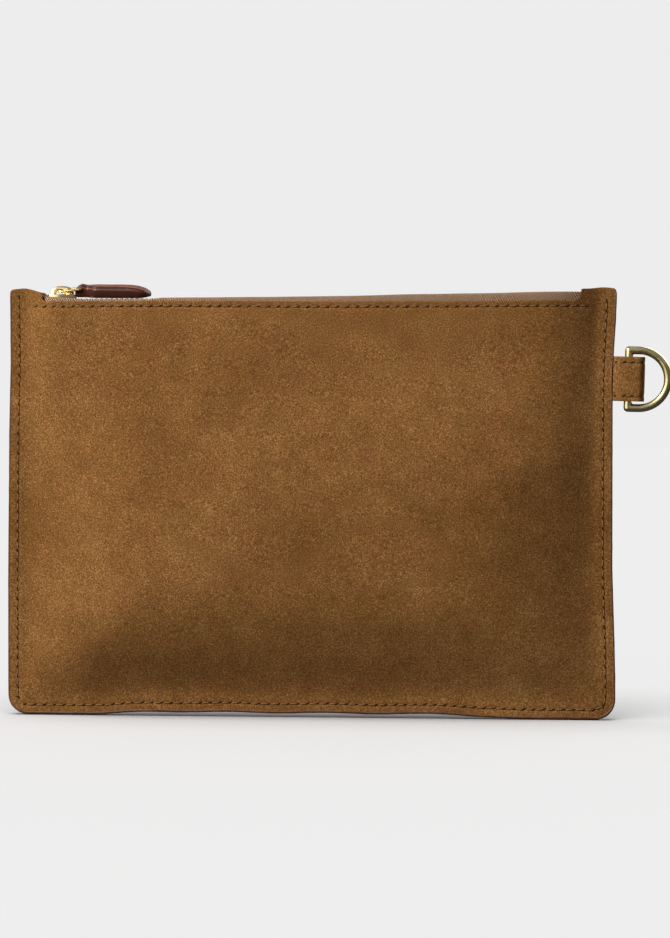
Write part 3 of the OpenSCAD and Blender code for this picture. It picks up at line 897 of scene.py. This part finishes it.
def pull_section(u, closing):
    """A ring of the pull at u: a domed top leaf, a crease below it, and a full, rounded lower leaf."""
    top, low = float(np.interp(u, *PULL_TOP)), float(np.interp(u, *PULL_LOW))
    half = max(pull_half(u), 0.35) * closing
    mid = (top + low) / 2
    top, low = mid + (top - mid) * closing, mid + (low - mid) * closing
    tall = top - low
    crease = min(0.30, 0.3 * half)
    side = [(0.42, 0.0), (0.16, 0.13 * tall), (0.04, 0.17 * tall), (crease, 0.205 * tall)]
    side += [(0.05, 0.25 * tall), (-0.04, 0.38 * tall), (-0.06, 0.6 * tall), (0.02, 0.8 * tall)]
    side += [(0.22, 0.93 * tall), (0.6, tall)]
    right = [(half - min(i, 0.8 * half), top - d) for i, d in side]
    face = [k / 5 for k in range(-4, 5)]
    inner = right[0][0]
    upper = [(inner * f, top + 0.14 * (1 - f * f) * closing) for f in face]
    inner = right[-1][0]
    lower = [(-inner * f, low - 0.10 * (1 - f * f) * closing) for f in face]
    return upper + right + lower + [(-v, w) for v, w in reversed(right)]


def build_pull():
    """Two leather leaves folded round the link: a leaf from above, with a crease where their edges meet."""
    flat = Vector((1, 0, 0))
    above = flat.cross(roll_axis).normalized()
    ahead = (flat * math.cos(PULL_SLOPE) - above * math.sin(PULL_SLOPE)).normalized()
    up = ahead.cross(roll_axis).normalized()
    first, last = PULL_TOP[0][0], PULL_TOP[0][-1]
    stations = [first + (last - first) * (1 - math.cos(math.pi * k / 60)) / 2 for k in range(1, 60)]
    stations = [first] + stations + [last]
    rings = []
    for u in stations:
        closing = 0.55 if u in (first, last) else 1.0
        ring = []
        for v, w in pull_section(u, closing):
            wander = 0.05 * noise.noise(Vector((u * 0.5, v * 0.4, w * 0.4)))
            ring.append(pull_at + ahead * (u * MM) + roll_axis * (v * MM) + up * ((w + wander) * MM))
        rings.append(ring)
    piece = make_piece("zip_pull", *loft(rings), [PULL_TOP_M, PULL_EDGE_M])
    normals = np.array([p.normal for p in piece.data.polygons])
    edge = np.abs(normals @ np.array(up)) < 0.55
    piece.data.polygons.foreach_set("material_index", edge.astype(int))
    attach(piece, "pull")
    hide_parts("leather_pull")


# ------------------------------------------------------------------ tab and D-ring
def tab_frame(u, y, w):
    """A point of the tab from its own run u, depth y and height w, drooping like its joint."""
    return tab_at + tab_ahead * u + Vector((0, y, 0)) + droop_axis * w


TAB_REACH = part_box("ring_tab")[1].x - tab_at.x
TAB_HALF = 9 * MM
TAB_STITCH_W = TAB_HALF - 2.2 * MM
LOOP_R = 1.8 * MM
STRAP = 1.3 * MM
# Half the folded strap's depth over its run, both in mm
TAB_DEPTH = ((-2.8, -2.55, -1.7, -0.2, 2.0, 3.6), (0.5, 1.75, 2.15, 2.65, 3.02, 3.1))


def tab_depth(u):
    """Half the folded strap's depth: its tail lies thin in the seam and opens out just past the edge."""
    return float(np.interp(u / MM, *TAB_DEPTH)) * MM


def tab_profile():
    """Outer and inner points of the folded strap, from the front tail round the ring to the back."""
    end = TAB_REACH - LOOP_R - STRAP
    pairs = []
    runs = [-11, -6, -3.4, -2.8, -2.68, -2.55, -2.2, -1.7, -1.2, -0.7, -0.2]
    runs += [0.4, 1.1, 2.0, 2.8, 3.6, 4.4, 5.2]
    runs = [r * MM for r in runs if r * MM < end - 0.2 * MM] + [end]
    for u in runs:
        outer = tab_depth(u)
        inner = mix(0.03 * MM, LOOP_R, smooth((u + 0.9 * MM) / (3.2 * MM)))
        pairs.append(((u, -outer), (u, -inner)))
    for k in range(1, 16):
        a = -math.pi / 2 + math.pi * k / 16
        r1, r2 = LOOP_R + STRAP, LOOP_R
        c, s = math.cos(a), math.sin(a)
        pairs.append(((end + r1 * c, r1 * s), (end + r2 * c, r2 * s)))
    return pairs + [((o[0], -o[1]), (i[0], -i[1])) for o, i in reversed(pairs[:len(runs)])]


def build_tab():
    """The suede strap folded round the ring's bar, its tail in the seam and its cut edges painted."""
    levels = [(-1.0, 0.80), (-0.985, 0.95)] + [(-0.95 + 1.9 * k / 18, 1.0) for k in range(19)]
    levels += [(0.985, 0.95), (1.0, 0.80)]
    rings = []
    for (ou, oy), (iu, iy) in tab_profile():
        mid = ((ou + iu) / 2, (oy + iy) / 2)
        out_side, in_side = [], []
        for share, full in levels:
            w = share * TAB_HALF
            row = 0.16 * MM * bell((abs(w) - TAB_STITCH_W) / (0.7 * MM))
            dx, dy = ou - mid[0], oy - mid[1]
            size = math.hypot(dx, dy)
            keep = full - row / size if ou > 1.5 * MM else full
            out_side.append(tab_frame(mid[0] + dx * keep, mid[1] + dy * keep, w))
            in_side.append(tab_frame(mid[0] - dx * full, mid[1] - dy * full, w))
        rings.append(out_side + in_side[::-1])
    piece = make_piece("ring_tab_strap", *loft(rings), [SUEDE_M, PAINT_M])
    normals = np.array([p.normal for p in piece.data.polygons])
    cut_edge = np.abs(normals @ np.array(droop_axis)) > 0.75
    piece.data.polygons.foreach_set("material_index", cut_edge.astype(int))
    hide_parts("ring_tab", "tab_anchor")
    bend_at_root(piece)


def bend_at_root(piece):
    """Bakes the piece's placement into its mesh."""
    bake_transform(piece)


def tab_surface(u, side, w):
    """A point on the tab's outer face, sunk into its stitch groove, and the way out of the leather."""
    end = TAB_REACH - LOOP_R - STRAP
    if u <= end:
        return tab_frame(u, side * (tab_depth(u) - 0.14 * MM), w), Vector((0, side, 0))
    a = math.asin(min(1, (u - end) / (LOOP_R + STRAP)))
    r = LOOP_R + STRAP - 0.14 * MM
    out = tab_ahead * math.sin(a) + Vector((0, side * math.cos(a), 0))
    return tab_frame(end + r * math.sin(a), side * r * math.cos(a), w), out


def build_tab_stitching():
    """Two short rows of stitches on each face of the tab."""
    parts = Parts()
    holes = [-1.3 * MM, 2.0 * MM, 5.2 * MM, 8.3 * MM]
    for side in (-1, 1):
        for w in (-TAB_STITCH_W, TAB_STITCH_W):
            row = [tab_surface(u, side, w) for u in holes]
            for at, out in row:
                # A dark lens of painted shade at each hole.
                parts.add(hole_shade_skin(at, tab_ahead, out, 2.0 * MM, 0.72 * MM), 1)
            for (at, out), (to, _) in zip(row, row[1:]):
                along = (to - at).normalized()
                parts.add(stitch_skin((at + to) / 2, along, out, (to - at).length - HOLE_GAP), 0)
    piece = make_piece(
        "tab_threads", parts.verts, parts.faces, [THREAD_M, HOLE_SHADE_M], material_index=parts.index)
    bend_at_root(piece)
    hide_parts("tab_stitching")


def build_ring():
    """A cast D: a straight bar, square shoulders and a round bow, melted together."""
    wire = WIRE_R
    mid = RING_INNER / 2 + wire
    arm = ring_high.x - ring_at.x - mid - wire

    def at(u, w):
        return ring_at + tab_ahead * u + droop_axis * w

    across = Vector((0, 1, 0))
    bar = [at(0, w) for w in np.linspace(-mid, mid, 24)]
    bow = [at(0.02 * MM + arm * k / 5, -mid) for k in range(5)]
    turns = np.linspace(-math.pi / 2, math.pi / 2, 49)
    bow += [at(arm + mid * math.cos(a), mid * math.sin(a)) for a in turns]
    bow += [at(0.02 * MM + arm * (5 - k) / 5, mid) for k in range(1, 6)]
    parts = Parts()
    parts.add(loft(tube(bar, wire, 24, up=across)))
    parts.add(loft(tube(bow, wire, 24, up=across)))
    for w in (-mid, mid):
        rings = []
        for k in range(1, 12):
            a = math.pi * k / 12
            r, h = wire * math.sin(a), wire * math.cos(a)
            turn = [2 * math.pi * j / 24 for j in range(24)]
            rings.append([at(r * math.cos(t), w + h) + across * (r * math.sin(t)) for t in turn])
        parts.add(loft(rings))
    source = bpy.data.meshes.new("d_ring_source")
    source.from_pydata([tuple(v) for v in parts.verts], [], parts.faces)
    piece = remeshed("d_ring_casting", source, 0.28 * MM, 4, [RING_M])
    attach(piece, "ring")
    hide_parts("d_ring")


# ------------------------------------------------------------------ stage, light and camera
def build_stage():
    bpy.ops.mesh.primitive_plane_add(size=12, location=(0, 0, -0.0002))
    floor = bpy.context.object
    floor.name = "floor"
    m = bpy.data.materials.new("floor_paper")
    m.use_nodes = True
    shader = m.node_tree.nodes["Principled BSDF"]
    shader.inputs["Base Color"].default_value = (0.80, 0.80, 0.80, 1)
    shader.inputs["Roughness"].default_value = 1.0
    shader.inputs["Specular IOR Level"].default_value = 0.0
    floor.data.materials.append(m)
    floor.visible_diffuse = False
    floor.visible_glossy = False
    return floor


def only_lights(light, *receivers):
    """The light falls on these objects and on no others."""
    group = bpy.data.collections.new("lit_by_" + light.name)
    for o in receivers:
        group.objects.link(o)
    light.light_linking.receiver_collection = group


def add_light(name, kind, location, target, energy, size=None, colour=(1, 1, 1)):
    data = bpy.data.lights.new(name, kind)
    data.energy = energy
    data.color = colour
    if kind == "AREA":
        data.shape = "RECTANGLE"
        data.size, data.size_y = size
    if kind == "SUN":
        data.angle = math.radians(size)
    light = bpy.data.objects.new(name, data)
    bpy.context.scene.collection.objects.link(light)
    light.location = location
    light.rotation_euler = (Vector(target) - Vector(location)).to_track_quat("-Z", "Y").to_euler()
    return light


def build_world(backdrop, overhead, below):
    """A flat backdrop for the camera, and for everything else a soft dome from below to overhead."""
    world = bpy.data.worlds.new("studio")
    bpy.context.scene.world = world
    world.use_nodes = True
    tree = world.node_tree
    tree.nodes.clear()
    out = tree.nodes.new("ShaderNodeOutputWorld")
    seen = tree.nodes.new("ShaderNodeBackground")
    seen.inputs["Color"].default_value = (*backdrop, 1)
    light = tree.nodes.new("ShaderNodeBackground")
    place_at = tree.nodes.new("ShaderNodeTexCoord")
    split = tree.nodes.new("ShaderNodeSeparateXYZ")
    ramp = tree.nodes.new("ShaderNodeValToRGB")
    ramp.color_ramp.elements[0].position = 0.35
    ramp.color_ramp.elements[0].color = (*below, 1)
    ramp.color_ramp.elements[1].position = 0.75
    ramp.color_ramp.elements[1].color = (*overhead, 1)
    shift = tree.nodes.new("ShaderNodeMapRange")
    shift.inputs["From Min"].default_value = -1
    path = tree.nodes.new("ShaderNodeLightPath")
    choose = tree.nodes.new("ShaderNodeMixShader")
    link = tree.links.new
    link(place_at.outputs["Generated"], split.inputs[0])
    link(split.outputs["Z"], shift.inputs["Value"])
    link(shift.outputs["Result"], ramp.inputs["Fac"])
    link(ramp.outputs["Color"], light.inputs["Color"])
    link(path.outputs["Is Camera Ray"], choose.inputs["Fac"])
    link(light.outputs[0], choose.inputs[1])
    link(seen.outputs[0], choose.inputs[2])
    link(choose.outputs[0], out.inputs["Surface"])


def build_camera():
    """A long lens a little above the pouch's middle, turned a little to the D-ring's side."""
    distance, turn, pitch = 1.1, math.radians(5), math.radians(1.5)
    target = Vector((10.2 * MM, 0, 101.3 * MM))
    away = Vector((math.sin(turn) * math.cos(pitch), -math.cos(turn) * math.cos(pitch), math.sin(pitch)))
    data = bpy.data.cameras.new("camera")
    data.sensor_fit = "HORIZONTAL"
    data.sensor_width = 36
    across = 0.2732
    data.lens = 36 * distance / across
    data.clip_end = 50
    camera = bpy.data.objects.new("camera", data)
    bpy.context.scene.collection.objects.link(camera)
    camera.location = target + away * distance
    camera.rotation_euler = (-away).to_track_quat("-Z", "Y").to_euler()
    bpy.context.scene.camera = camera


METAL_PIECES = (
    "slider_casting", "slider_arch", "link_wire", "d_ring_casting", "top_stops", "teeth_front", "teeth_back")

# ------------------------------------------------------------------ build
build_panel("front_suede", "front_panel", -1)
build_panel("back_suede", "back_panel", 1)
build_lining("front_cotton", "front_lining", -1)
build_lining("back_cotton", "back_lining", 1)
build_edge_paint()
build_stitching("seam_thread_front", ["seam_stitching_front"], -1, seam_path())
build_stitching("seam_thread_back", ["seam_stitching_back"], 1, seam_path())
build_stitching("zip_thread_front", ["zip_stitching_front"], -1, zip_path())
build_stitching("zip_thread_back", ["zip_stitching_back"], 1, zip_path())
build_tape("tape_front", "zip_tape_front", -1)
build_tape("tape_back", "zip_tape_back", 1)
build_teeth("teeth_front", "zip_teeth_front", -1)
build_teeth("teeth_back", "zip_teeth_back", 1)
bevelled_copy("top_stops", "zip_top_stops", STOP_M, "pouch", 0.2 * MM)
bevelled_copy("bottom_stop", "zip_bottom_stop", STOP_M, "pouch", 0.2 * MM)
bevelled_copy("slider_casting", "slider_body", BRASS_M, "slider", 0.16 * MM)
build_crown()
bevelled_copy("lock_spring", "slider_lock_spring", STOP_M, "slider", 0.06 * MM)
build_link()
build_pull()
build_tab()
build_tab_stitching()
build_ring()

floor = build_stage()
build_world(backdrop=(0.847, 0.847, 0.847), overhead=(0.30, 0.30, 0.30), below=(0.06, 0.06, 0.06))
add_light("key", "AREA", (-1.0, -0.85, 0.95), (-0.02, 0, 0.10), 42, (0.5, 0.5), (1.0, 0.985, 0.96))
add_light("back_fill", "AREA", (0.7, 0.9, 0.8), (0, 0, 0.09), 9, (0.8, 0.8))
floor_light = add_light("floor_light", "SUN", (-0.25, -0.35, 2), (0, 0, 0), 2.52, 50)
only_lights(floor_light, floor)
metal_card = add_light(
    "metal_card", "AREA", (-0.8, -0.95, 0.2), (0.05, 0, 0.15), 7.2, (1.6, 1.1), (1.0, 0.97, 0.9))
only_lights(metal_card, *[o for o in bpy.data.objects if o.name in METAL_PIECES])
for name in ("key", "back_fill"):
    pieces = [o for o in bpy.context.scene.objects if o.type == "MESH" and o is not floor]
    only_lights(bpy.data.objects[name], *pieces)
build_camera()
bpy.context.scene.view_settings.view_transform = "Standard"
